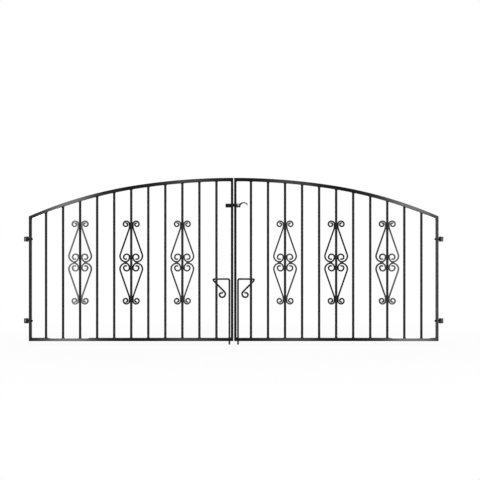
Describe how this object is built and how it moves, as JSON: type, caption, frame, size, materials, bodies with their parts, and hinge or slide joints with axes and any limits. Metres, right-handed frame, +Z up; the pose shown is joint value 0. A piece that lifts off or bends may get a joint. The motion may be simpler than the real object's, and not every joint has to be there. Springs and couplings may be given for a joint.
{
  "type": "wrought iron driveway gate",
  "caption": "Pair of bow-top driveway gates with round infill bars, scroll panels, drop bolts with looped handles, a lever latch and hinge brackets for two piers.",
  "frame": {"origin": "on the flat back of the lower left hinge bracket, where it meets the pier, at the middle of that face", "axes": "+X across the opening from the left pier to the right one, +Y away from the road into the garden, +Z up"},
  "size_m": [2.743, 0.0636, 1.0916],
  "materials": {
    "black_paint": "black satin gate paint on steel",
    "zinc_plated_steel": "dull zinc plate on the latch pivot"
  },
  "bodies": {
    "hinge_brackets": {"left_lower_hinge_bracket": "black_paint", "left_lower_hinge_pin": "black_paint", "left_upper_hinge_bracket": "black_paint", "left_upper_hinge_pin": "black_paint", "right_lower_hinge_bracket": "black_paint", "right_lower_hinge_pin": "black_paint", "right_upper_hinge_bracket": "black_paint", "right_upper_hinge_pin": "black_paint"},
    "left_leaf": {"left_hinge_stile": "black_paint", "left_meeting_stile": "black_paint", "left_bottom_rail": "black_paint", "left_bow": "black_paint", "left_infill_bars": "black_paint", "left_scroll_panel_1": "black_paint", "left_scroll_panel_2": "black_paint", "left_scroll_panel_3": "black_paint", "left_lower_eye_bolt": "black_paint", "left_lower_eye_nut": "black_paint", "left_upper_eye_bolt": "black_paint", "left_upper_eye_nut": "black_paint", "latch_keeper": "black_paint"},
    "right_leaf": {"right_hinge_stile": "black_paint", "right_meeting_stile": "black_paint", "right_bottom_rail": "black_paint", "right_bow": "black_paint", "right_infill_bars": "black_paint", "right_scroll_panel_1": "black_paint", "right_scroll_panel_2": "black_paint", "right_scroll_panel_3": "black_paint", "right_lower_eye_bolt": "black_paint", "right_lower_eye_nut": "black_paint", "right_upper_eye_bolt": "black_paint", "right_upper_eye_nut": "black_paint", "latch_plate": "black_paint", "latch_pivot_bolt": "zinc_plated_steel", "latch_pivot_spacer": "zinc_plated_steel", "latch_pivot_nut": "zinc_plated_steel"},
    "latch_lever": {"latch_lever": "black_paint"},
    "left_drop_bolt": {"left_drop_bolt": "black_paint"},
    "right_drop_bolt": {"right_drop_bolt": "black_paint"}
  },
  "joints": [
    {"name": "left_leaf_swing", "type": "hinge", "parent": "hinge_brackets", "child": "left_leaf", "pos_m": [0.018, 0, 0], "axis": [0, 0, 1], "range_deg": [0, 90]},
    {"name": "right_leaf_swing", "type": "hinge", "parent": "hinge_brackets", "child": "right_leaf", "pos_m": [2.725, 0, 0], "axis": [0, 0, -1], "range_deg": [0, 90]},
    {"name": "latch_lift", "type": "hinge", "parent": "right_leaf", "child": "latch_lever", "pos_m": [1.4015, 0.028, 0.7583], "axis": [0, 1, 0], "range_deg": [0, 30]},
    {"name": "left_bolt_lift", "type": "slide", "parent": "left_leaf", "child": "left_drop_bolt", "axis": [0, 0, 1], "range_m": [0, 0.075]},
    {"name": "right_bolt_lift", "type": "slide", "parent": "right_leaf", "child": "right_drop_bolt", "axis": [0, 0, 1], "range_m": [0, 0.075]}
  ]
}
